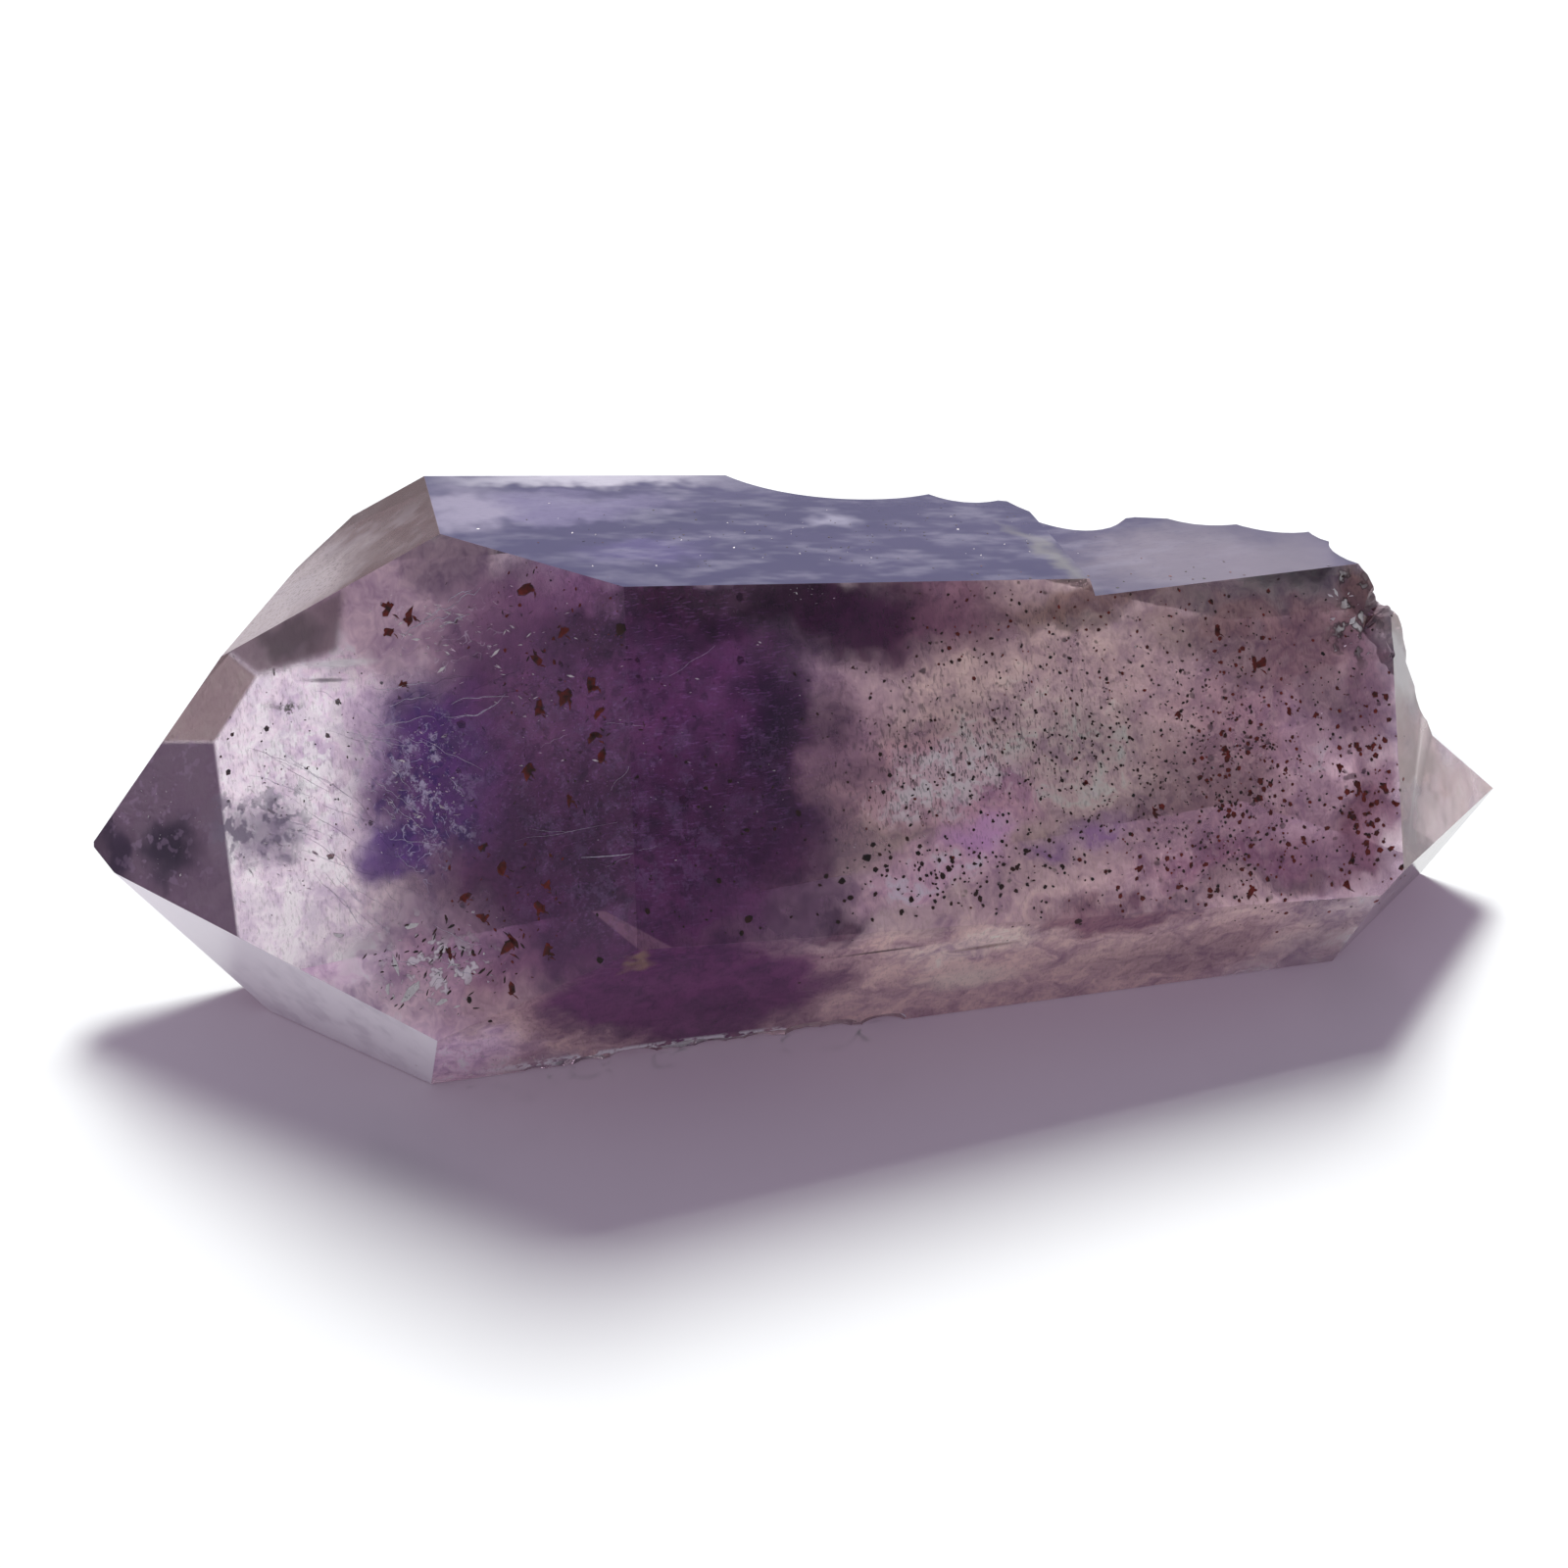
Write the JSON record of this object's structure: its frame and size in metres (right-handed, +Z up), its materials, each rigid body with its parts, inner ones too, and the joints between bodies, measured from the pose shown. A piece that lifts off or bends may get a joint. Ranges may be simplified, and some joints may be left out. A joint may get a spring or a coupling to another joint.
{
  "type": "amethyst crystal specimen",
  "caption": "Doubly terminated amethyst crystal lying on one flat side, with a full point at one end and a broken end with a small point at the other.",
  "frame": {"origin": "middle of the crystal's bounding box, on the surface it rests on", "axes": "+X along the crystal towards its small point, +Y away from the broad front side, +Z up"},
  "size_m": [0.06, 0.0224, 0.0196],
  "materials": {
    "amethyst": "clear natural crystal, uneven purple",
    "iron_oxide": "dull red-brown mineral flakes sealed in the crystal",
    "healed_fracture": "bright silvery films and threads sealed in the crystal"
  },
  "bodies": {
    "root": {"crystal": "amethyst"}
  },
  "joints": []
}
